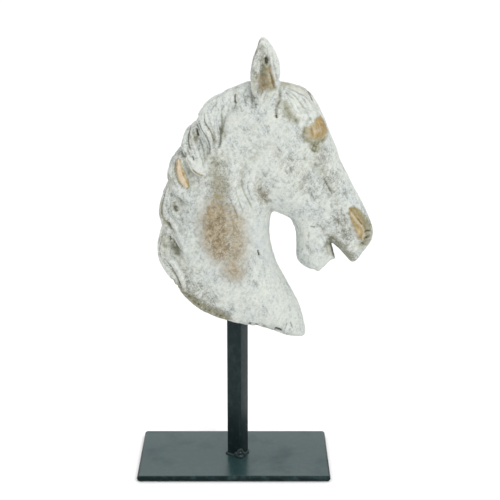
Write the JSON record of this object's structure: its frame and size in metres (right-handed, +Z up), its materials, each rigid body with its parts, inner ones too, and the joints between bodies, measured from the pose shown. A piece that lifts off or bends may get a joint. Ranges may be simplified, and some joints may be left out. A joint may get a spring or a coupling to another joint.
{
  "type": "horse head sculpture on stand",
  "caption": "Weathered whitewashed horse head with a wavy mane and parted lips, held up by a square black post above a flat rectangular foot.",
  "frame": {"origin": "centre of the base plate's underside", "axes": "+X is the way the horse faces and the base plate's long side, +Y is to the horse's left across the plate, +Z is up along the post"},
  "size_m": [0.1811, 0.085, 0.336],
  "materials": {
    "whitewashed_wood": "chalky whitewash worn through to tan on the high spots",
    "black_steel": "black satin paint"
  },
  "bodies": {
    "root": {"horse_head": "whitewashed_wood", "stand_post": "black_steel", "weld_bead": "black_steel", "base_plate": "black_steel"}
  },
  "joints": []
}
